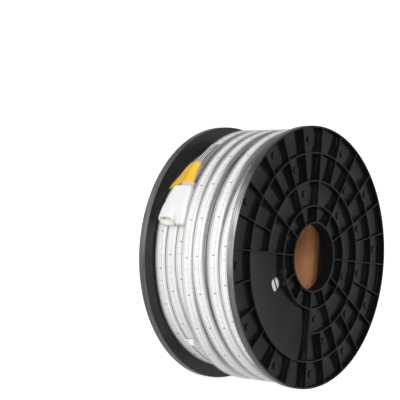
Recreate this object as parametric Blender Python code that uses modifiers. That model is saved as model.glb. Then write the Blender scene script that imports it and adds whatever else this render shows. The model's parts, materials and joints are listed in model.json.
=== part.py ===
"""An LED rope light wound on its supply reel.

The reel stands on its rear flange, with its axis along +Z and the origin
under its centre. Sizes are in metres.
"""

import math

import bmesh
import bpy
from mathutils import Matrix, Vector

# Reel
REEL_RADIUS = 0.150
REEL_WIDTH = 0.1338
FLANGE_THICKNESS = 0.0085
FLANGE_FLOOR = 0.0020
FLANGE_EDGE = 0.0006
RIM_WALL = 0.0023
RING_WALL = 0.0018
SPOKE_WALL = 0.0015
OUTER_RING_RADIUS = 0.1191
MIDDLE_RING_RADIUS = 0.0872
INNER_RING_RADIUS = 0.0588
BORE_RADIUS = 0.0383
SPIGOT_WALL = 0.0022
SPIGOT_LENGTH = 0.0060
CORE_WALL = 0.0040
LEAD_HOLE_RADIUS = 0.0080
LEAD_HOLE_DISTANCE = 0.0742
LEAD_HOLE_ANGLE = math.radians(-62.7)
NARROW_CELL = 15
WIDE_CELL = 30
PANEL_START = 180
PANEL_END = 270
ARC_STEP = math.radians(5)
ROUND_STEPS = 96
HOLE_SIDES = 32
PIN_SIDES = 16

# Wound rope
ROPE_WIDTH = 0.0146
ROPE_SHOULDER = 0.0022
LAYER_HEIGHT = 0.0075
UPPER_RISE = 0.0105
LOWER_LAYER_RADIUS = 0.1360
REAR_SLACK = 0.0017
FRONT_TURN_WIDTH = 0.0120
UPPER_GAPS = (0.0, 0.0076, 0.0034)
GAP_SLOPE = 1.5
GAP_DEPTH = 0.0080
STEP_OVER_START = 0.3
TAIL_ANGLE = math.radians(-117)
WINDING_STATIONS = 60

# Connector on the rope's outer end
CONNECTOR_LENGTH = 0.0410
CONNECTOR_HEIGHT = 0.0126
CONNECTOR_BACK_WIDTH = 0.0204
CONNECTOR_MOUTH_WIDTH = 0.0344
CONNECTOR_BACK_LENGTH = 0.0115
CONNECTOR_FLARE_LENGTH = 0.0125
CONNECTOR_EDGE = 0.0020
SOCKET_SETBACK = 0.0030
SOCKET_SLANT = math.radians(25)
SOCKET_WIDTH = 0.0180
SOCKET_HEIGHT = 0.0094
SOCKET_DEPTH = 0.0150
SOCKET_WALL = 0.0022
CARRIER_THICKNESS = 0.0022
PIN_RADIUS = 0.0009
PIN_LENGTH = 0.0024
PIN_SPACING = 0.0070
GROOVE_SIZE = 0.0045
SEAL_INSET = 0.0012
SEAL_LENGTH = 0.0020

# Paper tag and nylon tie
TAG_THICKNESS = 0.0005
TAG_START = math.radians(-131)
TAG_END = math.radians(-119)
TAG_STEPS = 6
TAG_MARGIN = 0.0008
TAG_FLAP_START = 0.0050
TAG_FLAP_END = 0.0150
TAG_FLAP_DROP = 0.0040
TIE_ANGLE = math.radians(-40)
TIE_BAND = 0.0030
TIE_THICKNESS = 0.0012
TIE_HEAD_LENGTH = 0.0045
TIE_HEAD_HEIGHT = 0.0032

SEAT_GAP = 0.0003
SIDE_CLEARANCE = 0.0006
MERGE = 0.000001
SHARP_ANGLE = math.radians(40)

INNER_FACE_REAR = FLANGE_THICKNESS + SEAT_GAP
INNER_FACE_FRONT = REEL_WIDTH - FLANGE_THICKNESS - SEAT_GAP
SPIGOT_RADIUS = BORE_RADIUS + SPIGOT_WALL
CORE_BORE_RADIUS = SPIGOT_RADIUS + SEAT_GAP
CORE_RADIUS = CORE_BORE_RADIUS + CORE_WALL
WINDING_BORE_RADIUS = CORE_RADIUS + SEAT_GAP
HIDDEN_LAYER_RADIUS = LOWER_LAYER_RADIUS - LAYER_HEIGHT
UPPER_LAYER_RADIUS = LOWER_LAYER_RADIUS + UPPER_RISE
LOWER_GROOVE = LOWER_LAYER_RADIUS - ROPE_SHOULDER
CONNECTOR_LEAD = math.atan((CONNECTOR_LENGTH / 2 + SEAL_LENGTH) / LOWER_LAYER_RADIUS)
CONNECTOR_ANGLE = TAIL_ANGLE + CONNECTOR_LEAD
CONNECTOR_REACH = 2 * CONNECTOR_LEAD / (2 * math.pi)
SOCKET_MIDDLE = SOCKET_WIDTH / 2 + SOCKET_WALL - CONNECTOR_MOUTH_WIDTH

# Turns a flat outline's thickness from Z to X, its X to Y and its Y to Z
FACE_ALONG_X = Matrix(((0, 0, 1, 0), (1, 0, 0, 0), (0, 1, 0, 0), (0, 0, 0, 1)))


def clear_scene():
    for thing in list(bpy.data.objects):
        bpy.data.objects.remove(thing, do_unlink=True)


def new_collection(name):
    collection = bpy.data.collections.new(name)
    bpy.context.scene.collection.children.link(collection)
    return collection


def new_material(name, colour, roughness, metallic=0.0):
    material = bpy.data.materials.new(name)
    material.use_nodes = True
    shader = material.node_tree.nodes["Principled BSDF"]
    shader.inputs["Base Color"].default_value = (*colour, 1.0)
    shader.inputs["Roughness"].default_value = roughness
    shader.inputs["Metallic"].default_value = metallic
    return material


def add_part(thing, material):
    for collection in list(thing.users_collection):
        collection.objects.unlink(thing)
    PARTS.objects.link(thing)
    thing.data.materials.clear()
    thing.data.materials.append(material)
    return thing


def add_cutter(thing):
    for collection in list(thing.users_collection):
        collection.objects.unlink(thing)
    CUTTERS.objects.link(thing)
    thing.hide_render = True
    thing.display_type = "WIRE"
    return thing


def cut(thing, cutter, solver="EXACT"):
    modifier = thing.modifiers.new(f"cut {cutter.name}", "BOOLEAN")
    modifier.operation = "DIFFERENCE"
    modifier.object = cutter
    modifier.solver = solver


def place(thing, parent, location=(0, 0, 0), rotation=(0, 0, 0)):
    thing.parent = parent
    thing.location = location
    thing.rotation_euler = rotation


def smooth(thing):
    thing.data.shade_smooth()
    thing.data.set_sharp_from_angle(angle=SHARP_ANGLE)


def turned(name, profile):
    """A closed profile of (radius, height) points turned about Z."""
    mesh = bpy.data.meshes.new(name)
    points = [(radius, 0.0, height) for radius, height in profile]
    edges = [(i, (i + 1) % len(points)) for i in range(len(points))]
    mesh.from_pydata(points, edges, [])
    thing = bpy.data.objects.new(name, mesh)
    screw = thing.modifiers.new("turn", "SCREW")
    screw.steps = ROUND_STEPS
    screw.render_steps = ROUND_STEPS
    screw.use_merge_vertices = True
    screw.merge_threshold = MERGE
    return thing


def flat_outlines(name, outlines, thickness):
    """A mesh of closed flat outlines, thickened evenly to both sides of z = 0."""
    curve = bpy.data.curves.new(name, "CURVE")
    curve.dimensions = "2D"
    curve.fill_mode = "BOTH"
    curve.extrude = thickness / 2
    for outline in outlines:
        spline = curve.splines.new("POLY")
        spline.points.add(len(outline) - 1)
        for point, (x, y) in zip(spline.points, outline):
            point.co = (x, y, 0.0, 1.0)
        spline.use_cyclic_u = True
    thing = bpy.data.objects.new(name, curve)
    bpy.context.scene.collection.objects.link(thing)
    bpy.context.view_layer.update()
    graph = bpy.context.evaluated_depsgraph_get()
    mesh = bpy.data.meshes.new_from_object(thing.evaluated_get(graph))
    mesh.name = name
    bpy.data.objects.remove(thing, do_unlink=True)
    form = bmesh.new()
    form.from_mesh(mesh)
    bmesh.ops.remove_doubles(form, verts=form.verts, dist=MERGE)
    bmesh.ops.recalc_face_normals(form, faces=form.faces)
    form.to_mesh(mesh)
    form.free()
    return bpy.data.objects.new(name, mesh)


def box(name, size):
    bpy.ops.mesh.primitive_cube_add(size=1)
    thing = bpy.context.object
    thing.name = name
    thing.data.name = name
    thing.data.transform(Matrix.Diagonal((*size, 1.0)))
    return thing


def cylinder(name, radius, depth, sides):
    bpy.ops.mesh.primitive_cylinder_add(vertices=sides, radius=radius, depth=depth)
    thing = bpy.context.object
    thing.name = name
    thing.data.name = name
    return thing


def arc(radius, start, end):
    steps = max(2, round(abs(end - start) / ARC_STEP))
    angles = [start + (end - start) * i / steps for i in range(steps + 1)]
    return [(radius * math.cos(a), radius * math.sin(a)) for a in angles]


def cell(inner, outer, start, end):
    """The outline between two rings and two spokes of even wall."""
    half = SPOKE_WALL / 2
    lean_out = math.asin(half / outer)
    lean_in = math.asin(half / inner)
    far = arc(outer, start + lean_out, end - lean_out)
    near = arc(inner, end - lean_in, start + lean_in)
    return far + near


def cell_row(inner, outer, first, last, step):
    """Cells from one clock angle to another, clockwise from -X as seen from the front."""
    row = []
    for clock in range(first, last, step):
        start = math.radians(180 - clock - step)
        end = math.radians(180 - clock)
        row.append(cell(inner, outer, start, end))
    return row


def pocket_outlines():
    half = RING_WALL / 2
    rim = REEL_RADIUS - RIM_WALL
    rows = cell_row(OUTER_RING_RADIUS + half, rim, 0, 360, NARROW_CELL)
    middle = (MIDDLE_RING_RADIUS + half, OUTER_RING_RADIUS - half)
    inner = (INNER_RING_RADIUS + half, MIDDLE_RING_RADIUS - half)
    for first, last in ((0, PANEL_START), (PANEL_END, 360)):
        rows += cell_row(*middle, first, last, NARROW_CELL)
        rows += cell_row(*inner, first, last, WIDE_CELL)
    panel = PANEL_END - PANEL_START
    rows += cell_row(inner[0], middle[1], PANEL_START, PANEL_END, panel)
    rows += cell_row(SPIGOT_RADIUS, INNER_RING_RADIUS - half, 0, 360, WIDE_CELL)
    return rows


def flange_cutters():
    depth = FLANGE_THICKNESS - FLANGE_FLOOR
    pockets = add_cutter(flat_outlines("pocket_cutter", pocket_outlines(), 2 * depth))
    hole = cylinder("lead_hole_cutter", LEAD_HOLE_RADIUS, 4 * FLANGE_THICKNESS, HOLE_SIDES)
    x = LEAD_HOLE_DISTANCE * math.cos(LEAD_HOLE_ANGLE)
    y = LEAD_HOLE_DISTANCE * math.sin(LEAD_HOLE_ANGLE)
    place(add_cutter(hole), None, (x, y, 0))
    return pockets, hole


def flange(name, cutters, material):
    """One moulding: lips at z = 0, the flat inner face and its spigot below."""
    face = -FLANGE_THICKNESS
    end = face - SPIGOT_LENGTH
    profile = [
        (REEL_RADIUS - FLANGE_EDGE, 0),
        (REEL_RADIUS, -FLANGE_EDGE),
        (REEL_RADIUS, face + FLANGE_EDGE),
        (REEL_RADIUS - FLANGE_EDGE, face),
        (SPIGOT_RADIUS, face),
        (SPIGOT_RADIUS, end),
        (BORE_RADIUS, end),
        (BORE_RADIUS, 0),
    ]
    thing = add_part(turned(name, profile), material)
    # The exact solver leaves gaps in these thin ribs at some reel radii
    for cutter in cutters:
        cut(thing, cutter, "MANIFOLD")
    bpy.context.view_layer.update()
    graph = bpy.context.evaluated_depsgraph_get()
    mesh = bpy.data.meshes.new_from_object(thing.evaluated_get(graph))
    thing.modifiers.clear()
    thing.data = mesh
    mesh.name = name
    smooth(thing)
    return thing


def core_tube(material):
    profile = [
        (CORE_RADIUS, INNER_FACE_FRONT),
        (CORE_RADIUS, INNER_FACE_REAR),
        (CORE_BORE_RADIUS, INNER_FACE_REAR),
        (CORE_BORE_RADIUS, INNER_FACE_FRONT),
    ]
    thing = add_part(turned("core_tube", profile), material)
    smooth(thing)
    return thing


def upper_edges():
    """Where each turn of the top layer starts, rear to front, at the tail's angle."""
    edges = [INNER_FACE_FRONT - FRONT_TURN_WIDTH]
    for gap in reversed(UPPER_GAPS):
        edges.insert(0, edges[0] - gap - ROPE_WIDTH)
    return edges


def lower_edges(first_upper):
    """Where each turn of the layer below starts, up to the first turn of the top layer."""
    edges = [INNER_FACE_REAR, INNER_FACE_REAR + REAR_SLACK + ROPE_WIDTH]
    while edges[-1] + ROPE_WIDTH < first_upper:
        edges.append(edges[-1] + ROPE_WIDTH)
    return edges


def upper_edge(index, turn):
    """The edge of one top turn after a part of a turn: the tail ends on the last low one."""
    starts = upper_edges()
    ends = [lower_edges(starts[0])[-2]] + starts
    starts = starts + [INNER_FACE_FRONT]
    return starts[index] + (ends[index] - starts[index]) * turn


def step_over(turn):
    """How far a lower turn has moved to its neighbour's place: it runs straight at first."""
    share = max(0.0, (turn - STEP_OVER_START) / (1 - STEP_OVER_START))
    return share * share * (3 - 2 * share)


def lower_turns(turn):
    """The hidden turn by the rear flange and the lower turns, each up to the next one."""
    low = lower_edges(upper_edges()[0])
    limit = upper_edge(0, turn)
    moved = step_over(turn)
    starts = [first + (last - first) * moved for first, last in zip(low, low[1:])]
    starts = [min(start, limit) for start in starts]
    ends = starts[1:] + [min(starts[-1] + ROPE_WIDTH, limit)]
    shown = [(INNER_FACE_REAR, starts[0], HIDDEN_LAYER_RADIUS)]
    return shown + [(start, end, LOWER_LAYER_RADIUS) for start, end in zip(starts, ends)]


def upper_turns(turn):
    """The top turns, and last the one that rises beside the front flange."""
    starts = [upper_edge(index, turn) for index in range(len(UPPER_GAPS) + 2)]
    limits = starts[1:] + [INNER_FACE_FRONT]
    ends = [min(start + ROPE_WIDTH, limit) for start, limit in zip(starts, limits)]
    ends[-1] = INNER_FACE_FRONT
    return [(start, end, UPPER_LAYER_RADIUS) for start, end in zip(starts, ends)]


def winding_turns(turn):
    """(start, end, radius) of each turn that shows, rear to front, after a part of a turn."""
    return lower_turns(turn) + upper_turns(turn)


def turn_profile(start, end, radius):
    """The rounded top of one turn, as (z, radius) points."""
    shoulder = min(ROPE_SHOULDER, (end - start) / 2)
    side = radius - ROPE_SHOULDER
    return [
        (start, side),
        (start + shoulder, side + shoulder),
        (end - shoulder, side + shoulder),
        (end, side),
    ]


def winding_section(turn):
    """Groups of (z, radius) points: each turn's top, with the gap that follows it."""
    shown = winding_turns(turn)
    groups = []
    for i, (start, end, radius) in enumerate(shown):
        group = turn_profile(start, end, radius)
        if i + 1 < len(shown):
            following, _, next_radius = shown[i + 1]
            floor = min(radius, next_radius) - ROPE_SHOULDER
            if radius == next_radius:
                floor -= min(GAP_DEPTH, GAP_SLOPE * max(0.0, following - end))
            ledge = max(floor, min(LOWER_GROOVE, next_radius - ROPE_SHOULDER))
            group += [(end, floor), (following, floor), (following, ledge)]
        groups.append(group)
    return groups


def around(angle, radius, z):
    return Vector((radius * math.cos(angle), radius * math.sin(angle), z))


def rope_winding(material):
    """The whole roll as one solid: ridged where its turns show, with the tail's end face."""
    form = bmesh.new()
    made = {}

    def corner(angle, point):
        z, radius = point
        key = (round(math.degrees(angle), 3) % 360, round(z, 7), round(radius, 7))
        if key not in made:
            made[key] = form.verts.new(around(angle, radius, z))
        return made[key]

    def face(corners):
        kept = [c for i, c in enumerate(corners) if c is not corners[i - 1]]
        if len(set(kept)) > 2:
            form.faces.new(kept)

    rings = []
    for station in range(WINDING_STATIONS + 1):
        turn = station / WINDING_STATIONS
        angle = TAIL_ANGLE + 2 * math.pi * turn
        points = [(INNER_FACE_REAR, WINDING_BORE_RADIUS)]
        for group in winding_section(turn):
            points += group
        points.append((INNER_FACE_FRONT, WINDING_BORE_RADIUS))
        rings.append([corner(angle, point) for point in points])
    for near, far in zip(rings, rings[1:]):
        for i in range(len(near)):
            face([near[i - 1], near[i], far[i], far[i - 1]])

    # The turns that show after a whole turn, against the ones that they join or end on
    lows = len(lower_edges(upper_edges()[0]))
    end = winding_section(1.0)
    start = winding_section(0.0)
    end_groups = end[: lows - 2] + end[lows:]
    start_groups = start[1:-1]
    above = [corner(TAIL_ANGLE, point) for group in end_groups for point in group]
    below = [corner(TAIL_ANGLE, point) for group in start_groups for point in group]
    first = 0
    for i in range(1, len(above)):
        if above[i] is below[i]:
            loop = list(dict.fromkeys(above[first : i + 1] + below[first:i][::-1]))
            if len(loop) > 2:
                form.faces.new(loop)
            first = i
    bmesh.ops.recalc_face_normals(form, faces=form.faces)
    bmesh.ops.triangulate(form, faces=form.faces)
    mesh = bpy.data.meshes.new("rope_winding")
    form.to_mesh(mesh)
    form.free()
    thing = add_part(bpy.data.objects.new("rope_winding", mesh), material)
    smooth(thing)
    return thing


def connector_frame():
    """An empty on the lower layer: X along the rope, Y along the reel's axis, Z outwards."""
    empty = bpy.data.objects.new("connector_frame", None)
    PARTS.objects.link(empty)
    right = upper_edge(0, CONNECTOR_REACH) - SIDE_CLEARANCE
    seat = LOWER_LAYER_RADIUS + SEAT_GAP
    angle = CONNECTOR_ANGLE
    outwards = Vector((math.cos(angle), math.sin(angle), 0))
    along = Vector((-math.sin(angle), math.cos(angle), 0))
    axis = Vector((0, 0, 1))
    turn = Matrix((along, axis, outwards)).transposed().to_4x4()
    empty.matrix_world = Matrix.Translation(outwards * seat + axis * right) @ turn
    return empty


def oval(width, height, steps=6):
    """A stadium outline, wide along the first axis."""
    radius = height / 2
    reach = width / 2 - radius
    right = [math.pi * (i / steps - 0.5) for i in range(steps + 1)]
    points = [(reach + radius * math.cos(a), radius * math.sin(a)) for a in right]
    return points + [(-x, -y) for x, y in points]


def connector_housing(parent, material):
    back = -CONNECTOR_LENGTH / 2
    front = CONNECTOR_LENGTH / 2
    flare = back + CONNECTOR_BACK_LENGTH
    shoulder = flare + CONNECTOR_FLARE_LENGTH
    outline = [
        (back, -CONNECTOR_BACK_WIDTH),
        (flare, -CONNECTOR_BACK_WIDTH - CONNECTOR_EDGE),
        (shoulder, -CONNECTOR_MOUTH_WIDTH),
        (front, -CONNECTOR_MOUTH_WIDTH + CONNECTOR_EDGE / 2),
        (front, 0),
        (back, 0),
    ]
    housing = flat_outlines("connector_housing", [outline], CONNECTOR_HEIGHT)
    add_part(housing, material)
    place(housing, parent, (0, 0, CONNECTOR_HEIGHT / 2))
    edge = housing.modifiers.new("round edges", "BEVEL")
    edge.width = CONNECTOR_EDGE
    edge.segments = 2

    tube_side = SOCKET_MIDDLE + SOCKET_WIDTH / 2 + SOCKET_WALL
    slant = add_cutter(box("socket_slant_cutter", [2 * CONNECTOR_HEIGHT] * 3))
    slant.data.transform(Matrix.Translation((CONNECTOR_HEIGHT, -CONNECTOR_HEIGHT, 0)))
    hinge = (front - SOCKET_SETBACK, tube_side, CONNECTOR_HEIGHT / 2)
    place(slant, parent, hinge, (0, -SOCKET_SLANT, 0))
    cut(housing, slant)

    mouth = flat_outlines("socket_cutter", [oval(SOCKET_WIDTH, SOCKET_HEIGHT)], 2 * SOCKET_DEPTH)
    mouth.data.transform(FACE_ALONG_X)
    place(add_cutter(mouth), parent, (front, SOCKET_MIDDLE, CONNECTOR_HEIGHT / 2))
    cut(housing, mouth)

    groove = add_cutter(box("groove_cutter", (CONNECTOR_LENGTH, GROOVE_SIZE, GROOVE_SIZE)))
    groove.data.transform(Matrix.Rotation(math.pi / 4, 4, "X"))
    place(groove, parent, (shoulder + CONNECTOR_LENGTH / 2, tube_side, CONNECTOR_HEIGHT))
    cut(housing, groove)
    smooth(housing)
    return housing


def socket_contacts(parent, carrier_material, pin_material):
    """The insulating block at the socket's floor and the two pins that stand on it."""
    clear = 2 * SEAT_GAP
    width = SOCKET_WIDTH - clear
    height = SOCKET_HEIGHT - clear
    carrier = flat_outlines("contact_carrier", [oval(width, height)], CARRIER_THICKNESS)
    carrier.data.transform(FACE_ALONG_X)
    add_part(carrier, carrier_material)
    floor = CONNECTOR_LENGTH / 2 - SOCKET_DEPTH + SEAT_GAP
    middle = CONNECTOR_HEIGHT / 2
    place(carrier, parent, (floor + CARRIER_THICKNESS / 2, SOCKET_MIDDLE, middle))
    stand = floor + CARRIER_THICKNESS + SEAT_GAP + PIN_LENGTH / 2
    for number, side in ((1, -1), (2, 1)):
        pin = cylinder(f"contact_pin_{number}", PIN_RADIUS, PIN_LENGTH, PIN_SIDES)
        add_part(pin, pin_material)
        across = SOCKET_MIDDLE + side * PIN_SPACING / 2
        place(pin, parent, (stand, across, middle), (0, math.pi / 2, 0))
        smooth(pin)


def rope_seal(frame, material):
    """The seal between the connector's back and the rope's end face, two unlike sections."""
    left = upper_edge(0, 1.0) + SEAL_INSET
    right = left + ROPE_WIDTH - 2 * SEAL_INSET
    top = UPPER_LAYER_RADIUS - SEAL_INSET
    bottom = LOWER_LAYER_RADIUS + 2 * SEAL_INSET
    lean = SEAT_GAP / LOWER_LAYER_RADIUS
    corners = ((left, bottom), (right, bottom), (right, top), (left, top))
    rope_end = [around(TAIL_ANGLE + lean, radius, z) for z, radius in corners]
    inside = frame.matrix_world.inverted()
    seat = -CONNECTOR_LENGTH / 2 - SEAT_GAP
    housing_end = []
    for point in rope_end:
        flat = inside @ point
        flat.x = seat
        housing_end.append(frame.matrix_world @ flat)
    form = bmesh.new()
    near = [form.verts.new(point) for point in rope_end]
    far = [form.verts.new(point) for point in housing_end]
    form.faces.new(near)
    form.faces.new(far[::-1])
    for i in range(4):
        form.faces.new((near[i - 1], far[i - 1], far[i], near[i]))
    bmesh.ops.recalc_face_normals(form, faces=form.faces)
    mesh = bpy.data.meshes.new("rope_seal")
    form.to_mesh(mesh)
    form.free()
    return add_part(bpy.data.objects.new("rope_seal", mesh), material)


def rope_tag(material):
    """A paper tag laid over the tail, with a flap folded out to its rear side."""
    radius = UPPER_LAYER_RADIUS + SEAT_GAP
    form = bmesh.new()
    rows = []
    for step in range(TAG_STEPS + 1):
        share = step / TAG_STEPS
        angle = TAG_START + (TAG_END - TAG_START) * share
        turn = 1 + (angle - TAIL_ANGLE) / (2 * math.pi)
        left = upper_edge(0, turn)
        flap = TAG_FLAP_START + (TAG_FLAP_END - TAG_FLAP_START) * share
        drop = TAG_FLAP_DROP * flap / TAG_FLAP_END
        points = (
            (left + ROPE_WIDTH - TAG_MARGIN, radius),
            (left - SEAT_GAP, radius),
            (left - flap, radius - drop),
        )
        rows.append([form.verts.new(around(angle, r, z)) for z, r in points])
    for near, far in zip(rows, rows[1:]):
        for i in range(1, len(near)):
            form.faces.new((near[i - 1], far[i - 1], far[i], near[i]))
    bmesh.ops.recalc_face_normals(form, faces=form.faces)
    if sum(face.normal.dot(face.calc_center_median()) for face in form.faces) < 0:
        bmesh.ops.reverse_faces(form, faces=form.faces)
    mesh = bpy.data.meshes.new("rope_tag")
    form.to_mesh(mesh)
    form.free()
    tag = add_part(bpy.data.objects.new("rope_tag", mesh), material)
    sheet = tag.modifiers.new("paper", "SOLIDIFY")
    sheet.thickness = TAG_THICKNESS
    sheet.offset = 1.0
    return tag


def rope_tie(material):
    """A nylon tie across the second turn of the lower layer, its head at the turn's front."""
    turn = (TIE_ANGLE - TAIL_ANGLE) / (2 * math.pi)
    start, end, radius = winding_turns(turn)[2]
    seat = radius + SEAT_GAP
    band = box("rope_tie", (TIE_THICKNESS, TIE_BAND, end - start))
    head_size = (TIE_HEAD_HEIGHT, TIE_HEAD_LENGTH, TIE_HEAD_LENGTH)
    head = add_cutter(box("tie_head", head_size))
    add_part(band, material)
    height = seat + TIE_THICKNESS / 2
    place(band, None, around(TIE_ANGLE, height, (start + end) / 2), (0, 0, TIE_ANGLE))
    height = seat + TIE_HEAD_HEIGHT / 2
    place(head, None, around(TIE_ANGLE, height, end - TIE_HEAD_LENGTH / 2), (0, 0, TIE_ANGLE))
    union = band.modifiers.new("head", "BOOLEAN")
    union.operation = "UNION"
    union.object = head
    return band


clear_scene()
PARTS = new_collection("rope_light_reel")
CUTTERS = new_collection("cutters")

BLACK = new_material("reel_black", (0.030, 0.030, 0.032), 0.35)
CARD = new_material("core_card", (0.34, 0.20, 0.11), 0.85)
ROPE = new_material("rope_white", (0.82, 0.82, 0.84), 0.30)
WHITE = new_material("connector_white", (0.86, 0.86, 0.86), 0.35)
BEIGE = new_material("carrier_beige", (0.62, 0.56, 0.42), 0.50)
METAL = new_material("pin_metal", (0.45, 0.42, 0.36), 0.35, 1.0)
SEAL = new_material("seal_clear", (0.70, 0.64, 0.58), 0.40)
YELLOW = new_material("tag_yellow", (0.95, 0.58, 0.04), 0.60)

SHARED_CUTTERS = flange_cutters()
front_flange = flange("front_flange", SHARED_CUTTERS, BLACK)
place(front_flange, None, (0, 0, REEL_WIDTH))
rear_flange = flange("rear_flange", SHARED_CUTTERS, BLACK)
place(rear_flange, None, (0, 0, 0), (math.pi, 0, 0))
core_tube(CARD)
rope_winding(ROPE)
FRAME = connector_frame()
bpy.context.view_layer.update()
connector_housing(FRAME, WHITE)
socket_contacts(FRAME, BEIGE, METAL)
rope_seal(FRAME, SEAL)
rope_tag(YELLOW)
rope_tie(WHITE)
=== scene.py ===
"""LED rope light wound on its reel: the looks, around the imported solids.

The file is laid out like an add-on: settings, one operator for each group of
pieces and one for the stage, and a panel. Sizes are in metres.
"""

import json
import math

import bmesh
import bpy
from bpy.props import FloatProperty, FloatVectorProperty, IntProperty, PointerProperty
from bpy.types import Operator, Panel, PropertyGroup
from mathutils import Matrix, Vector
from mathutils.geometry import delaunay_2d_cdt

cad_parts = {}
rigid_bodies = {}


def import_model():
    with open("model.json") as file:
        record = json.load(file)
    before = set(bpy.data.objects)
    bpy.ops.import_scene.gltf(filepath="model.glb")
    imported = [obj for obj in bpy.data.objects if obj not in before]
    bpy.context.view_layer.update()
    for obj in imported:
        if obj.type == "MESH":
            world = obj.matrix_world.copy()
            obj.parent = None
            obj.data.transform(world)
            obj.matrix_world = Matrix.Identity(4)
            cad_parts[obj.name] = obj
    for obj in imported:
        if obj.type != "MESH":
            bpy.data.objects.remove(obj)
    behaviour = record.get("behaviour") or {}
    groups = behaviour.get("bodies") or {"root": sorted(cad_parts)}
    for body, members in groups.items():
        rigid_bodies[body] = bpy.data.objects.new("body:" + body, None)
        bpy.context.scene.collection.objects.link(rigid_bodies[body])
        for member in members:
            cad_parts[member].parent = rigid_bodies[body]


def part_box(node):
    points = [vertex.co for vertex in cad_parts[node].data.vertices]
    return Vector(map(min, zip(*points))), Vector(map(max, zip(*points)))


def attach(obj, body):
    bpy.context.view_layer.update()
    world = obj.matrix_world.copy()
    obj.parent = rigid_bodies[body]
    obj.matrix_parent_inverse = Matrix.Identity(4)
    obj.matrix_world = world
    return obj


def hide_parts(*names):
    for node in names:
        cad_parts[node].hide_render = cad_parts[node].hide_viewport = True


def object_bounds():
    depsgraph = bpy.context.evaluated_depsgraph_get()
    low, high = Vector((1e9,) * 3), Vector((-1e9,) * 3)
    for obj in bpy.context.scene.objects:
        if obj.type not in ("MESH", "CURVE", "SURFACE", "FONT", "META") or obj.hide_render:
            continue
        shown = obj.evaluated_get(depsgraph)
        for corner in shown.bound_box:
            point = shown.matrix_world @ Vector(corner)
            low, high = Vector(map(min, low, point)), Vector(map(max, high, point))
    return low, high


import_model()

bl_info = {
    "name": "Rope light reel",
    "version": (1, 0, 0),
    "blender": (4, 5, 0),
    "location": "View3D > Sidebar > Rope Light",
    "description": "Builds an LED rope light on its reel around a packed model",
    "category": "Object",
}

CAD_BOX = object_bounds()

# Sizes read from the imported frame
REEL_RADIUS = CAD_BOX[1].x
REEL_WIDTH = CAD_BOX[1].z
REAR_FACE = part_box("core_tube")[0].z
FRONT_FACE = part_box("core_tube")[1].z
CORE_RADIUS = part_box("core_tube")[1].x

TURN = 360.0
ROUND_STEP = 2.5
AXIS = Vector((0, 0, 1))
# A rounded corner's middle, as a share of its radius in from the edges
CORNER_MIDDLE = 0.3
# The card's gap to the spigots
CARD_GAP = 0.0003


# Settings

def size_of(name, description, default, high=1.0):
    return FloatProperty(
        name=name, description=description, default=default, min=0.0, max=high,
        unit="LENGTH", precision=5,
    )


def vector(name, description, default, **kind):
    return FloatVectorProperty(name=name, description=description, default=default, size=3, **kind)


def colour_of(name, thing, default):
    return vector(name, f"Colour of {thing}", default, min=0.0, max=1.0, subtype="COLOR")


def place_of(name, description, default):
    return vector(name, description, default, subtype="TRANSLATION", unit="LENGTH")


class ReelSettings(PropertyGroup):
    """Sizes and colours of the flanges and the core"""

    flange_thickness: size_of("Flange", "Thickness of a flange", 0.0085)
    floor_thickness: size_of("Floor", "Plastic left under a cell", 0.0020)
    rim_wall: size_of("Rim wall", "Wall of the flange's rim", 0.0023)
    ring_wall: size_of("Ring wall", "Wall of a ring rib", 0.0018)
    spoke_wall: size_of("Spoke wall", "Wall of a spoke", 0.0015)
    outer_ring: size_of("Outer ring", "Radius of the outer ring rib", 0.1191)
    middle_ring: size_of("Middle ring", "Radius of the middle ring rib", 0.0872)
    inner_ring: size_of("Inner ring", "Radius of the inner ring rib", 0.0588)
    bore: size_of("Bore", "Radius of the bore", 0.0383)
    spigot_wall: size_of("Spigot wall", "Wall of the spigot in the core", 0.0022)
    spigot_length: size_of("Spigot", "Length of the spigot", 0.0060)
    lip_round: size_of("Lip", "Rounding of the ribs' lips", 0.00035)
    floor_round: size_of("Floor corner", "Rounding at a cell's floor", 0.0006)
    draft: size_of("Draft", "How much a cell narrows down to its floor", 0.00025)
    hole_radius: size_of("Lead hole", "Radius of the hole for the rope's lead", 0.0080)
    plastic: colour_of("Plastic", "the moulded plastic", (0.0034, 0.0034, 0.0036))
    # The rim's grey is mostly a painted highlight on the black plastic's side, with streaky scuffs in it
    rim: colour_of("Rim", "the rim's side, scuffed and with a painted highlight", (0.62, 0.62, 0.625))
    card: colour_of("Card", "the cardboard core", (0.68, 0.345, 0.16))


class RopeSettings(PropertyGroup):
    """Sizes and colours of the rope"""

    width: size_of("Width", "Width of the rope", 0.0144)
    height: size_of("Height", "Height of the rope", 0.0074)
    sleeve_wall: size_of("Sleeve", "Wall of the clear sleeve", 0.0009)
    led_pitch: size_of("LED pitch", "Distance between LEDs", 0.0139)
    leds_per_cut: IntProperty(
        name="LEDs per cut", description="LEDs between two cut marks", default=6, min=1, max=60
    )
    tape: colour_of("Tape", "the white tape", (0.965, 0.957, 0.955))
    sleeve: colour_of("Sleeve", "the clear sleeve", (0.64, 0.64, 0.635))
    phosphor: colour_of("Phosphor", "an LED's face", (0.92, 0.91, 0.73))
    part_grey: colour_of("Parts", "the small parts on the tape", (0.13, 0.13, 0.14))
    edge_grey: colour_of("Tape edge", "the line at the tape's edge", (0.64, 0.63, 0.64))
    line_grey: colour_of("Cut line", "the cut lines on the tape", (0.60, 0.60, 0.62))
    # The wire strip's colour is pale as painted light; its table darkens it towards -X as painted shade
    wire_with_painted_light: colour_of("Copper", "the wires in the sleeve", (0.86, 0.82, 0.80))
    side: colour_of("Side", "the clear sides, with no tape behind", (0.92, 0.90, 0.92))


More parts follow.
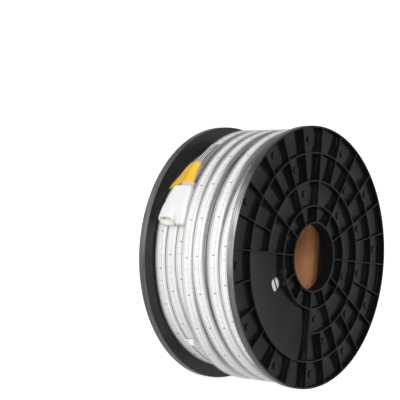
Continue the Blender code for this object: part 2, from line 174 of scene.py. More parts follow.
class EndSettings(PropertyGroup):
    """Colours of the connector, the tag and the tie"""

    white: colour_of("Connector", "the connector", (0.75, 0.75, 0.755))
    beige: colour_of("Carrier", "the insulating block", (0.90, 0.85, 0.70))
    # Lightened to stand for light reaching into the socket: painted light
    lining: colour_of("Lining", "Colour inside the socket", (0.92, 0.90, 0.82))
    pin: colour_of("Pins", "the contact pins", (0.24, 0.22, 0.17))
    seal: colour_of("Seal", "the rope's seal", (0.62, 0.50, 0.45))
    tag: colour_of("Tag", "the paper tag", (0.90, 0.53, 0.012))
    tie: colour_of("Tie", "the nylon tie", (0.98, 0.98, 0.97))


class StageSettings(PropertyGroup):
    """The camera and the studio light"""

    camera_spot: place_of("Camera", "Where the camera stands", (0.03199, -1.20844, 0.97297))
    camera_aim: place_of("Aim", "What the camera looks at", (-0.05198, -0.13021, 0.0669))
    camera_roll: FloatProperty(
        name="Roll", description="The camera's turn about its own axis", subtype="ANGLE",
        default=math.radians(91.4514),
    )
    lens: FloatProperty(name="Lens", description="Focal length in mm", default=115.63)
    floor_size: size_of("Floor", "Side of the floor", 6.0, high=50.0)
    floor_colour: colour_of("Floor colour", "the floor", (0.86, 0.86, 0.86))
    floor_glow: colour_of("Floor glow", "the glow that the camera sees on the floor", (0.56, 0.56, 0.56))
    world_light: FloatProperty(name="Sky", description="Strength of the even light", default=0.50)
    key_light: FloatProperty(name="Key", description="Power of the key lamp in W", default=20.0)


# Materials

class NodeLayout:
    """Adds nodes to a tree, with their sockets filled."""

    def __init__(self, tree):
        self.tree = tree
        self.shader = tree.nodes.get("Principled BSDF")

    def add(self, kind, sockets=None, **values):
        node = self.tree.nodes.new(kind)
        for key, value in values.items():
            setattr(node, key, value)
        self.fill(node, sockets or {})
        return node

    def fill(self, node, sockets):
        """Sets each socket to its value, or links it where that is a list of node and output."""
        for key, value in sockets.items():
            if isinstance(value, list):
                start, output = value
                self.tree.links.new(start.outputs[output], node.inputs[key])
            else:
                node.inputs[key].default_value = value


def new_group(name, inputs, outputs):
    """A shader node group with float or colour sockets: {name: default}."""
    group = bpy.data.node_groups.new(name, "ShaderNodeTree")
    for direction, sockets in (("INPUT", inputs), ("OUTPUT", outputs)):
        for label, default in sockets.items():
            kind = "NodeSocketColor" if isinstance(default, tuple) else "NodeSocketFloat"
            socket = group.interface.new_socket(label, in_out=direction, socket_type=kind)
            socket.default_value = default
    layout = NodeLayout(group)
    return group, layout, layout.add("NodeGroupInput"), layout.add("NodeGroupOutput")


def grain_group():
    """Fine surface grain: a height for bump and a small change of roughness."""
    group, layout, given, made = new_group(
        "Moulded grain",
        {"Scale": 900.0, "Roughness": 0.3, "Spread": 0.08},
        {"Height": 0.0, "Roughness": 0.0},
    )
    spot = layout.add("ShaderNodeTexCoord")
    fine = layout.add("ShaderNodeTexNoise", {
        "Vector": [spot, "Object"], "Scale": [given, "Scale"], "Detail": 3.0,
    })
    broad = layout.add("ShaderNodeTexNoise", {"Vector": [spot, "Object"], "Scale": 35.0, "Detail": 4.0})
    centre = layout.add("ShaderNodeMath", {0: [broad, "Fac"], 1: 0.5}, operation="SUBTRACT")
    spread = layout.add("ShaderNodeMath", {
        0: [centre, "Value"], 1: [given, "Spread"], 2: [given, "Roughness"],
    }, operation="MULTIPLY_ADD")
    layout.fill(made, {"Height": [fine, "Fac"], "Roughness": [spread, "Value"]})
    return group


def stain_group():
    """A colour that drifts towards a second one in soft patches, which can be drawn out round the axis."""
    grey = (0.8, 0.8, 0.8, 1.0)
    group, layout, given, made = new_group(
        "Colour drift",
        {"Colour": grey, "Second": grey, "Scale": 60.0, "Amount": 0.3, "Stretch": 1.0},
        {"Colour": grey},
    )
    spot = layout.add("ShaderNodeTexCoord")
    stretch = layout.add("ShaderNodeCombineXYZ", {"X": 1.0, "Y": 1.0, "Z": [given, "Stretch"]})
    stretched = layout.add(
        "ShaderNodeVectorMath", {0: [spot, "Object"], 1: [stretch, "Vector"]}, operation="MULTIPLY"
    )
    noise = layout.add("ShaderNodeTexNoise", {
        "Vector": [stretched, "Vector"], "Scale": [given, "Scale"], "Detail": 5.0, "Roughness": 0.6,
    })
    curve = layout.add("ShaderNodeMapRange", {"Value": [noise, "Fac"], "From Min": 0.42, "From Max": 0.68})
    amount = layout.add(
        "ShaderNodeMath", {0: [curve, "Result"], 1: [given, "Amount"]}, operation="MULTIPLY"
    )
    mix = layout.add("ShaderNodeMix", {
        "Factor": [amount, "Value"], 6: [given, "Colour"], 7: [given, "Second"],
    }, data_type="RGBA")
    layout.fill(made, {"Colour": [mix, 2]})
    return group


def scaled(colour, share):
    return tuple(part * share for part in colour)


def new_material(
    name, colour, share, roughness, shades=None, drift=0.5, drift_scale=60.0, stretch=1.0,
    grain_scale=900.0, bump=0.2, bump_depth=0.0002, coat=0.0, metallic=0.0, specular=0.5,
):
    """A Principled material that drifts to a share of its colour, with grain and a fine bump."""
    material = bpy.data.materials.new(name)
    material.use_nodes = True
    groups = bpy.data.node_groups
    layout = NodeLayout(material.node_tree)
    stain = layout.add("ShaderNodeGroup", {
        "Colour": (*colour, 1.0), "Second": (*scaled(colour, share), 1.0),
        "Scale": drift_scale, "Amount": drift, "Stretch": stretch,
    }, node_tree=groups.get("Colour drift") or stain_group())
    grain = layout.add("ShaderNodeGroup", {
        "Scale": grain_scale, "Roughness": roughness, "Spread": 0.12,
    }, node_tree=groups.get("Moulded grain") or grain_group())
    relief = layout.add("ShaderNodeBump", {
        "Height": [grain, "Height"], "Strength": bump, "Distance": bump_depth,
    })
    layout.fill(layout.shader, {
        "Base Color": [stain, "Colour"], "Roughness": [grain, "Roughness"], "Normal": [relief, "Normal"],
        "Metallic": metallic, "Specular IOR Level": specular, "Coat Weight": coat, "Coat Roughness": 0.1,
    })
    # Painted light and shade along X, where shades are given
    if shades:
        shade_along(material, ALONG_X, shades)
    return material


def see_through(material, facing, grazing):
    """Clear plastic: seen through from the front, and more of its own look at a slant."""
    layout = NodeLayout(material.node_tree)
    slant = layout.add("ShaderNodeLayerWeight", {"Blend": 0.35})
    amount = layout.add("ShaderNodeMapRange", {
        "Value": [slant, "Facing"], "To Min": facing, "To Max": grazing,
    })
    layout.fill(layout.shader, {"Alpha": [amount, "Result"]})


def shade_along(material, direction, stops):
    """Paints light and shade into a material's base colour along a direction in the object: stops are
    (place, share).
    """
    layout = NodeLayout(material.node_tree)
    source = layout.shader.inputs["Base Color"].links[0].from_socket
    first, last = stops[0][0], stops[-1][0]
    spot = layout.add("ShaderNodeTexCoord")
    reach = layout.add(
        "ShaderNodeVectorMath", {0: [spot, "Object"], 1: direction}, operation="DOT_PRODUCT"
    )
    way = layout.add("ShaderNodeMapRange", {
        "Value": [reach, "Value"], "From Min": first, "From Max": last,
    })
    ramp = layout.add("ShaderNodeValToRGB", {"Fac": [way, "Result"]})
    ramp.color_ramp.interpolation = "EASE"
    points = ramp.color_ramp.elements
    while len(points) < len(stops):
        points.new(0.5)
    for point, (along, amount) in zip(points, stops):
        point.position = (along - first) / (last - first)
        point.color = (amount, amount, amount, 1.0)
    mix = layout.add(
        "ShaderNodeMix", {"Factor": 1.0, 7: [ramp, "Color"]}, data_type="RGBA", blend_type="MULTIPLY"
    )
    layout.tree.links.new(source, mix.inputs[6])
    layout.fill(layout.shader, {"Base Color": [mix, 2]})


# Painted light and shade on a base colour, as (place along a direction, share)
ALONG_X = (1.0, 0.0, 0.0)
# A slanted direction, so that the card's painted shade edge bends round the bore
ALONG_CARD = (0.0, 0.6, 1.0)
# Painted highlight on the front rim's side near X = -0.036, with painted shade towards -X
FRONT_RIM_SHADES = (
    (-0.125, 0.02), (-0.09, 0.04), (-0.077, 0.16), (-0.053, 0.46), (-0.036, 0.94),
    (-0.007, 0.60), (0.007, 0.46), (0.04, 0.21), (0.09, 0.14),
)
# Painted highlight on the rear rim's side, with painted shade towards -X
REAR_RIM_SHADES = (
    (-0.125, 0.03), (-0.08, 0.18), (-0.04, 0.26), (-0.01, 0.26), (0.03, 0.15), (0.09, 0.17),
)
# Painted shade on the rope's clear sides towards -X, and painted light towards +X
SIDE_SHADES = ((-0.125, 0.14), (-0.10, 0.20), (-0.06, 0.46), (-0.02, 0.72), (0.04, 1.06))
# Painted shade on the tape's rounded corners towards -X
CORNER_SHADES = ((-0.125, 0.15), (-0.10, 0.22), (-0.07, 0.75), (-0.04, 1.0))
# Painted shade on the wire strip towards -X, and painted light towards +X
WIRE_SHADES = ((-0.125, 0.40), (-0.03, 0.46), (0.05, 1.0))
# Painted shade on the tape's edge line, strongest towards -X and some towards +X
LINE_SHADES = ((-0.125, 0.20), (-0.09, 0.33), (-0.03, 1.0), (0.04, 0.9), (0.11, 0.5))
# Painted shade on the card in the bore, darker towards the front end; painted light on it towards +X
CARD_SHADES = ((0.1095, 1.0), (0.1195, 0.9), (0.1265, 0.65), (0.1315, 0.25), (0.1375, 0.02))
CARD_SIDE_SHADES = ((-0.04, 1.0), (0.03, 1.15))
# Painted shade on the tag's folded-out flap and along its fold
TAG_SHADES = ((0.020, 0.74), (0.036, 0.80), (0.0385, 0.70), (0.041, 1.0))


# Mesh helpers

def add_object(name, data):
    thing = bpy.data.objects.new(name, data)
    bpy.context.scene.collection.objects.link(thing)
    return thing


def finish_piece(name, form, materials, replaces=(), angle=35, outward=True):
    """Turns a bmesh into a smooth-shaded piece that rides on the reel."""
    if outward:
        bmesh.ops.recalc_face_normals(form, faces=form.faces)
    mesh = bpy.data.meshes.new(name)
    form.to_mesh(mesh)
    form.free()
    mesh.shade_smooth()
    mesh.set_sharp_from_angle(angle=math.radians(angle))
    piece = add_object(name, mesh)
    for material in materials:
        mesh.materials.append(material)
    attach(piece, "root")
    if replaces:
        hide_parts(*replaces)
    return piece


def polar(radius, degrees, height=0.0):
    angle = math.radians(degrees)
    return Vector((radius * math.cos(angle), radius * math.sin(angle), height))


def steps_between(start, end):
    count = round((end - start) / ROUND_STEP)
    return [start + (end - start) * i / count for i in range(count + 1)]


AROUND = steps_between(0, TURN)[:-1]


def ring_of(form, points):
    return [form.verts.new(point) for point in points]


def turned(form, profile):
    """Rings round the reel's axis through (radius, height) points."""
    return [ring_of(form, [polar(r, a, z) for a in AROUND]) for r, z in profile]


def bridge(form, near, far, closed=True, strips=(0,)):
    """Quads between two loops of equal length, with the strips' materials in turn."""
    for i in range(0 if closed else 1, len(near)):
        face = form.faces.new((near[i - 1], near[i], far[i], far[i - 1]))
        face.material_index = strips[i % len(strips)]


def skin(form, loops, closed=True, strips=(0,)):
    """Quads from each loop to the next one."""
    for near, far in zip(loops, loops[1:]):
        bridge(form, near, far, closed, strips)


def fill_between(form, loops, material=0):
    """Triangles in one flat plane between an outer loop and the loops inside it."""
    corners = [corner for loop in loops for corner in loop]
    edges = []
    for loop in loops:
        first = len(edges)
        edges += [(first + i, first + (i + 1) % len(loop)) for i in range(len(loop))]
    flat = [corner.co.to_2d() for corner in corners]
    inside = 1
    triangles, sources = delaunay_2d_cdt(flat, edges, [], inside, 1e-9)[2:4]
    holes = [set(loop) for loop in loops[1:]]
    for triangle in triangles:
        face = [corners[sources[i][0]] for i in triangle]
        if not any(hole.issuperset(face) for hole in holes):
            form.faces.new(face).material_index = material


def block(form, place, size, material=0, taper=1.0):
    """A low block without a bottom: place is (origin, along, across, out), size the same way."""
    origin, along, across, out = place
    length, width, height = size

    def corners(share, lift):
        sides = ((-1, -1), (1, -1), (1, 1), (-1, 1))
        long, wide = length / 2 * share, width / 2 * share
        return ring_of(form, [origin + along * long * i + across * wide * j + out * lift for i, j in sides])

    bottom, top = corners(1.0, 0.0), corners(taper, height)
    form.faces.new(top).material_index = material
    bridge(form, bottom, top, strips=(material,))


# Flanges

EJECTOR_SIZE = 0.0044
EJECTOR_RISE = 0.00120
EJECTOR_TAPER = 0.90
OUTER_MARK_CLOCKS = [-7.5 + 30 * k for k in range(12)]
MIDDLE_MARK_CLOCKS = (-22.5, 37.5, 67.5, 97.5, 127.5, 157.5)
INNER_MARK_CLOCKS = (-15, 45, 105, 165)
LEAD_HOLE = (0.0702, -61.0)
RIM, BORE, INNER_FACE = 1, 2, 3


def cell_loop(inner, outer, half_wall, start, end, height, extra=()):
    """A cell's outline at one height: far arc, then near arc, with extra side radii."""
    def lean(radius):
        return math.degrees(math.asin(half_wall / radius))

    def arc(radius):
        angles = steps_between(start, end)
        last = len(angles) - 1
        return [
            polar(radius, a + lean(radius) * (1 - 2 * (i / last)), height)
            for i, a in enumerate(angles)
        ]

    up = [polar(r, start + lean(r), height) for r in extra]
    down = [polar(r, end - lean(r), height) for r in reversed(extra)]
    return arc(outer) + down + arc(inner)[::-1] + up


class FlangeShape:
    """One flange's mesh, lips at z = 0 and its inner face below."""

    def __init__(self, sizes):
        self.sizes = sizes
        self.form = bmesh.new()
        self.shared = {}
        self.depth = sizes.flange_thickness - sizes.floor_thickness

    def shared_ring(self, points):
        """Vertices on the ribs' centre lines, made once for both cells."""
        made = []
        for point in points:
            key = tuple(round(part * 1e6) for part in point)
            if key not in self.shared:
                self.shared[key] = self.form.verts.new(point)
            made.append(self.shared[key])
        return made

    def cell(self, inner, outer, start, end, rim=False, hub=False, extra=(), marks=()):
        """A pocket between two radii and two angles; marks are (radius, angle, size, rise)."""
        sizes = self.sizes
        lip, foot, draft = sizes.lip_round, sizes.floor_round, sizes.draft
        half = sizes.spoke_wall / 2
        near = inner + (sizes.spigot_wall if hub else sizes.ring_wall / 2)
        far = outer - (sizes.rim_wall if rim else sizes.ring_wall / 2)
        first = inner + (lip if hub else 0)
        last = outer - (lip * 2 if rim else 0)
        levels = (
            (-lip, 0), (-lip * CORNER_MIDDLE, -lip * CORNER_MIDDLE), (0, -lip), (draft, foot - self.depth),
            (draft + foot * CORNER_MIDDLE, foot * CORNER_MIDDLE - self.depth), (draft + foot, -self.depth),
        )
        loops = [self.shared_ring(cell_loop(first, last, 0, start, end, 0, extra))]
        for inset, height in levels:
            points = cell_loop(near + inset, far - inset, half + inset, start, end, height, extra)
            loops.append(ring_of(self.form, points))
        skin(self.form, loops)
        self.floor(loops[-1], marks)

    def floor(self, outline, marks):
        """A cell's floor, with low round marks or a through hole in it."""
        if not marks:
            self.form.faces.new(outline)
            return
        loops = [outline]
        for radius, angle, size, rise in marks:
            through = rise < 0
            centre = polar(radius, angle, -self.depth)
            ends = ((size, 0.0), (size if through else size * EJECTOR_TAPER, rise))
            circle, end = [
                ring_of(self.form, [centre + polar(reach, a, height) for a in range(0, 360, 15)])
                for reach, height in ends
            ]
            loops.append(circle)
            bridge(self.form, circle, end)
            if through:
                self.hole = end
            else:
                self.form.faces.new(end)
        fill_between(self.form, loops)

    def sides(self):
        """The rim's outer side, the inner face, the spigot and the bore."""
        sizes = self.sizes
        lip, bore = sizes.lip_round, sizes.bore
        edge, wall = lip * 2, bore + sizes.spigot_wall
        face = -sizes.flange_thickness
        end = face - sizes.spigot_length
        outer = [
            (REEL_RADIUS - edge * CORNER_MIDDLE, -edge * CORNER_MIDDLE),
            (REEL_RADIUS, -edge),
            (REEL_RADIUS, face + edge),
            (REEL_RADIUS - edge * CORNER_MIDDLE, face + edge * CORNER_MIDDLE),
            (REEL_RADIUS - edge, face),
        ]
        inner = [
            (wall, face), (wall, end + lip), (wall - lip, end),
            (bore + lip, end), (bore, end + lip), (bore, -lip),
        ]
        rings = [self.shared_ring([polar(REEL_RADIUS - edge, a) for a in AROUND])]
        rings += turned(self.form, outer)
        middle = turned(self.form, inner)
        middle.append(self.shared_ring([polar(bore + lip, a) for a in AROUND]))
        skin(self.form, rings, strips=(RIM,))
        skin(self.form, middle, strips=(BORE,))
        fill_between(self.form, [rings[-1], middle[0], self.hole], INNER_FACE)


def flange_form(sizes):
    shape = FlangeShape(sizes)
    rim, outer, middle, inner = REEL_RADIUS, sizes.outer_ring, sizes.middle_ring, sizes.inner_ring

    def row(low, high, first, last, step, clocks=(), **kind):
        for clock in range(first, last, step):
            marks = [
                ((low + high) / 2, 180 - mark, EJECTOR_SIZE, EJECTOR_RISE)
                for mark in clocks if (mark - clock) % 360 < step
            ]
            shape.cell(low, high, 180 - clock - step, 180 - clock, marks=marks, **kind)

    row(outer, rim, 0, 360, 15, OUTER_MARK_CLOCKS, rim=True)
    for first, last in ((0, 180), (270, 360)):
        row(middle, outer, first, last, 15, MIDDLE_MARK_CLOCKS)
        row(inner, middle, first, last, 30, INNER_MARK_CLOCKS)
    row(sizes.bore, inner, 0, 360, 30, hub=True)
    hole = (*LEAD_HOLE, sizes.hole_radius, -sizes.floor_thickness)
    shape.cell(inner, outer, -90, 0, extra=[middle], marks=[hole])
    shape.sides()
    return shape.form


# Rope

START_ANGLE = -118.0
LOWER_TURNS = 7
LOWER_PITCH = 0.0146
LOWER_START = 0.0105
LOWER_TOP = 0.1360
LAYER_HEIGHT = 0.0075
STRAIGHT_START = 5
STRAIGHT_END = 110.0
UPPER_TOP = 0.1465
PROFILE_ROUND = 0.0026
# How solid the clear sleeve looks from the front and at a slant
SLEEVE_ALPHA = (0.14, 0.62)
TAPE_END = 3816.0

# The rope's route in the order that it is wound: degrees, rear edge, top radius
START_ROUTE = [
    (START_ANGLE - 190, 0.0092, 0.1285),
    (START_ANGLE - 60, 0.0092, 0.1285),
    (START_ANGLE - 10, 0.0095, 0.1310),
]
CLIMB_ROUTE = [
    (2265, 0.1104, 0.1365), (2383, 0.1104, 0.1370), (2410, 0.1104, 0.1420), (2430, 0.1104, 0.1458),
    (2447, 0.1104, 0.1465), (2467, 0.1104, 0.1462), (2483, 0.1104, 0.1454), (2493, 0.1104, 0.1438),
    (2510, 0.1100, 0.1415), (2560, 0.1100, 0.1420),
]
# The top layer, all at one radius: degrees, rear edge
UPPER_EDGES = (
    (2610, 0.1085), (2740, 0.0980), (2800, 0.0950), (2830, 0.0955), (2860, 0.0960),
    (2900, 0.0930), (3000, 0.0850), (3110, 0.0740), (3155, 0.0730), (3190, 0.0752),
    (3230, 0.0738), (3350, 0.0640), (3470, 0.0575), (3515, 0.0583), (3550, 0.0550),
    (3580, 0.0490), (3700, 0.0430), (3790, 0.0385), (3842.7, 0.0392),
)
# Where a turn of the layer below isn't straight: degrees, shift and rise
LOOSE_PARTS = {
    0: ((40, 0.0, 0.0), (66, 0.0, 0.0014), (85, 0.0, 0.0006)),
    2: ((40, 0.0, 0.0), (66, 0.0024, 0.0), (85, 0.0020, 0.0)),
}

# The body's materials, and its right half: distance in from the edge, height, material up to there
TAPE, SIDE, WIRE, LINE, CORNER = range(5)
BODY_SIDE = (
    (0.0036, 0.0, TAPE),
    (0.0028, 0.0, LINE),
    # The white strip outside the edge line is partly tape and partly a painted highlight on the sleeve's
    # shoulder
    (0.0018, -0.0003, TAPE),
    (0.0006, -0.0009, CORNER),
    (0.0, -0.0019, CORNER),
    (0.0, -0.0030, SIDE),
    (0.0, -0.0041, WIRE),
)
BODY_FOOT = 0.0010

# Parts on the tape: their materials, and length, width and height
FRAME, FACE, GREY, PAD = range(4)
LED_FRAME = (0.0034, 0.0030, 0.0004)
LED_FACE = (0.0027, 0.0023, 0.00045)
LED_TAPER = 0.94
CUT_LINE = (0.0004, 0.0066, 0.00015)
SOLDER_PAD = (0.0020, 0.0012, 0.00017)
RESISTOR = (0.0012, 0.0026, 0.0004)
SMALL_PART = (0.0009, 0.0016, 0.0004)
RESISTOR_PLACES = (2, 5)
# Degrees without LEDs at the route's start and the tape's end, and without small parts at its end
LED_START, LED_STOP, PART_STOP = 10, 2, 1
PART_SINK = 0.0001
PART_ACROSS = 0.0014
PAD_ACROSS = 0.0024

# Streaks on the bare end: place across, width, and 1 for a dark one
STREAKS = (
    (-0.0044, 0.0006, 0), (-0.0030, 0.0020, 1), (-0.0015, 0.0007, 0),
    (-0.0001, 0.0018, 1), (0.0014, 0.0006, 0), (0.0032, 0.0026, 1),
)
STREAK_HEIGHT = 0.0001
STREAK_ANGLE = 1.05

# The roll of layers below: its gap to core and flanges, and the grooves between its turns
ROLL_GAP = 0.0003
ROLL_GROOVE = 0.0022
ROLL_LIP = 0.0012
# The roll's dark grooves, as painted shade
GAP = 2


def lower_route():
    """The layer below: each turn runs straight for a third of a turn, then steps over."""
    points = list(START_ROUTE)
    for turn in range(LOWER_TURNS):
        base = START_ANGLE + TURN * turn
        edge = LOWER_START + LOWER_PITCH * turn
        straight = ((STRAIGHT_START, 0.0, 0.0), *LOOSE_PARTS.get(turn, ()), (STRAIGHT_END, 0.0, 0.0))
        points += [(base + angle, edge + shift, LOWER_TOP + rise) for angle, shift, rise in straight]
        for share in (0.25, 0.5, 0.75):
            angle = base + STRAIGHT_END + (TURN - STRAIGHT_END) * share
            eased = share * share * (3 - 2 * share)
            points.append((angle, edge + LOWER_PITCH * eased, LOWER_TOP))
    last = START_ANGLE + TURN * (LOWER_TURNS - 1) + STRAIGHT_END
    return [point for point in points if point[0] <= last]


def smooth_route(points, step):
    """The route read every few degrees, with smooth cubic pieces between its points."""
    slopes = []
    for i in range(len(points)):
        before, after = points[max(i - 1, 0)], points[min(i + 1, len(points) - 1)]
        slopes.append([(after[k] - before[k]) / (after[0] - before[0]) for k in (1, 2)])

    def between(piece, t, k):
        start, end = points[piece], points[piece + 1]
        span = end[0] - start[0]
        m, n = slopes[piece][k - 1] * span, slopes[piece + 1][k - 1] * span
        return (
            start[k] * (2 * t ** 3 - 3 * t * t + 1)
            + m * (t ** 3 - 2 * t * t + t)
            + end[k] * (3 * t * t - 2 * t ** 3)
            + n * (t ** 3 - t * t)
        )

    read = []
    angle = points[0][0]
    piece = 0
    while angle <= points[-1][0]:
        while points[piece + 1][0] < angle:
            piece += 1
        t = (angle - points[piece][0]) / (points[piece + 1][0] - points[piece][0])
        read.append((angle, between(piece, t, 1), between(piece, t, 2)))
        angle += step
    return read


def rounded_profile(width, height, radius, steps=4):
    """A flat rope's section as (along the axis, outwards) points, its top centre at 0, 0."""
    side, low = width / 2 - radius, radius - height
    points = []
    for x, y, start in ((side, -radius, 90), (side, low, 0), (-side, low, 270), (-side, -radius, 180)):
        for i in range(steps + 1):
            angle = math.radians(start - 90 * i / steps)
            points.append((x + radius * math.cos(angle), y + radius * math.sin(angle)))
    return points


def body_profile(width, height):
    """The rope in its sleeve: its section's points, and the material up to each of them."""
    foot = ((0.0, BODY_FOOT - height, SIDE), (BODY_FOOT, -height, SIDE))
    side = [(width / 2 - inset, y, strip) for inset, y, strip in BODY_SIDE + foot]
    right = [strip for x, y, strip in side]
    points = [(x, y) for x, y, strip in side] + [(-x, y) for x, y, strip in reversed(side)]
    return points, right + [SIDE] + right[:0:-1]


def sweep(form, route, profile, width, strips=(0,), cap=0):
    """A profile carried along the wound route, closed at both ends."""
    rings = [
        ring_of(form, [polar(top + y, angle, edge + width / 2 + x) for x, y in profile])
        for angle, edge, top in route
    ]
    skin(form, rings, strips=strips)
    for end in (rings[0][::-1], rings[-1]):
        form.faces.new(end).material_index = cap


def follow(route, angle):
    """The rope's rear edge and top radius at one angle, and how fast the edge moves."""
    place = (angle - route[0][0]) / ROUND_STEP
    index = min(int(place), len(route) - 2)
    near, far = route[index], route[index + 1]
    edge, top = [near[k] + (far[k] - near[k]) * (place - index) for k in (1, 2)]
    return edge, top, (far[1] - near[1]) / (math.radians(ROUND_STEP) * top)


def spots_along(route, start, end, pitch):
    """Angles spaced by an even length along the rope."""
    spots = []
    angle = start
    while angle < end:
        spots.append(angle)
        edge, top, slope = follow(route, angle)
        angle += math.degrees(pitch / (top * math.hypot(1, slope)))
    return spots


# Connector, in its own frame: X along the rope, Y along the reel's axis, Z outwards

CONNECTOR_ANGLE = -107.6
CONNECTOR_SEAT = 0.1363
MOUTH_SLANT = 0.45
MOUTH_WALL = 0.0024
MOUTH_DEPTH = 0.0100
MOUTH_LIP = 0.0008
MOUTH_ROUND = 0.0006
PIN_SIZE = 0.0010
PIN_LENGTH = 0.0026
PIN_SPACING = 0.0085
# A pin's round end: distance out and share of its radius
PIN_STAGES = ((0.0, 1.0), (PIN_LENGTH, 1.0), (PIN_LENGTH + 0.0005, 0.7), (PIN_LENGTH + 0.0007, 0.2))
LINING = 1

# Sections along the connector: x, across and up middle, half width, half height, squareness
HOUSING_SECTIONS = (
    (-0.0240, -0.0138, 0.0066, 0.0110, 0.0046, 5.0),
    (-0.0235, -0.0138, 0.0066, 0.0122, 0.0056, 5.0),
    (-0.0220, -0.0140, 0.0064, 0.0130, 0.0060, 5.0),
    (-0.0140, -0.0153, 0.0063, 0.0148, 0.0062, 5.0),
    (-0.0060, -0.0166, 0.0063, 0.0162, 0.0062, 5.0),
    (-0.0010, -0.0168, 0.0063, 0.0164, 0.0062, 4.5),
    (0.0040, -0.0160, 0.0058, 0.0156, 0.0056, 4.0),
    (0.0075, -0.0118, 0.0052, 0.0116, 0.0049, 3.6),
    (0.0110, -0.0082, 0.0050, 0.0080, 0.0046, 3.2),
    (0.0160, -0.0070, 0.0049, 0.0067, 0.0045, 3.0),
    (0.0190, -0.0068, 0.0048, 0.0063, 0.0042, 3.0),
    (0.0204, -0.0068, 0.0047, 0.0048, 0.0030, 3.0),
)
TUBE_SECTIONS = (
    (-0.0090, -0.0230, 0.0062, 0.0080, 0.0052, 3.0),
    (-0.0040, -0.0240, 0.0064, 0.0094, 0.0061, 3.0),
    (0.0005, -0.0248, 0.0068, 0.0106, 0.0066, 2.8),
    (0.0060, -0.0252, 0.0072, 0.0109, 0.0068, 2.6),
    (0.0120, -0.0254, 0.0074, 0.0110, 0.0068, 2.5),
    (0.0168, -0.0256, 0.0075, 0.0111, 0.0068, 2.5),
    (0.0173, -0.0256, 0.0075, 0.0108, 0.0065, 2.5),
)
CARRIER_SECTIONS = (
    (0.0060, -0.0256, 0.0075, 0.0087, 0.0044, 2.5),
    (0.0116, -0.0256, 0.0075, 0.0087, 0.0044, 2.5),
    (0.0119, -0.0256, 0.0075, 0.0084, 0.0041, 2.5),
)
SEAL_SECTIONS = (
    (-0.0300, -0.0098, 0.0058, 0.0076, 0.0038, 4.0),
    (-0.0294, -0.0098, 0.0058, 0.0084, 0.0046, 4.0),
    (-0.0225, -0.0098, 0.0058, 0.0086, 0.0048, 4.0),
)


def superellipse(section, steps=36):
    """A rounded section's points in the connector's frame."""
    x, across, up, half_width, half_height, power = section
    points = []
    for i in range(steps):
        angle = 2 * math.pi * i / steps
        c, s = math.cos(angle), math.sin(angle)
        y = math.copysign(abs(c) ** (2 / power), c) * half_width
        z = math.copysign(abs(s) ** (2 / power), s) * half_height
        points.append(Vector((x, across + y, up + z)))
    return points


# Tag and tie

TAG_ANGLES = (-131.0, -119.5)
TAG_TIP_ANGLE = -116.2
TAG_FOLD_Z = 0.0383
TAG_RIGHT_Z = 0.0513
TAG_OUTER_Z = 0.0340
TAG_WIDENING = 0.0145
TAG_SKEW = 0.0022
TAG_SEAT = 0.0004
TAG_PAPER = 0.0003
TAG_WAVE = 0.0002
TAG_WAVE_ALONG, TAG_WAVE_ACROSS = 9, 3.0
TAG_EDGE_ROUND = 0.0012
TAG_FOLD_ROUND = 0.0008
TAG_FOLD_SINK = 0.0004
TAG_STEPS = 12
TAG_PARTS = 4
# The tag's turned-down right edge: how far down, how far past the edge
TAG_TURN_DOWN = ((0.0042, 0.0009), (0.0016, 0.0008), (0.0003, 0.0))
# How far the folded-out flap drops at its start, and how much more at its end
TAG_DROP = (0.0008, 0.0022)

# The tie: the strap's width and thickness, its head, and the strap's cut end
TIE_SEAT = 0.0003
TIE_STRAP = (0.0026, 0.0007)
TIE_HEAD = 0.0060
TIE_HEAD_HEIGHT = 0.0050
TIE_END = (0.0012, 0.0030, 0.0022)
TIE_END_RISE = 0.0018
TIE_ROUND = 0.0002

# Stage

FLOOR_GAP = 0.0002
# The lamps: name, place, size, share of the key light, and whether gloss shows them
LAMPS = (
    ("key_lamp", (-0.35, -1.5, 1.0), 1.1, 1.0, True),
    ("top_lamp", (-1.3, 0.3, 1.6), 1.2, 0.10, True),
    ("fill_lamp", (1.3, -1.2, 0.15), 1.0, 0.35, True),
    ("back_lamp", (0.2, 1.9, 0.20), 0.5, 0.50, False),
)


# Operators

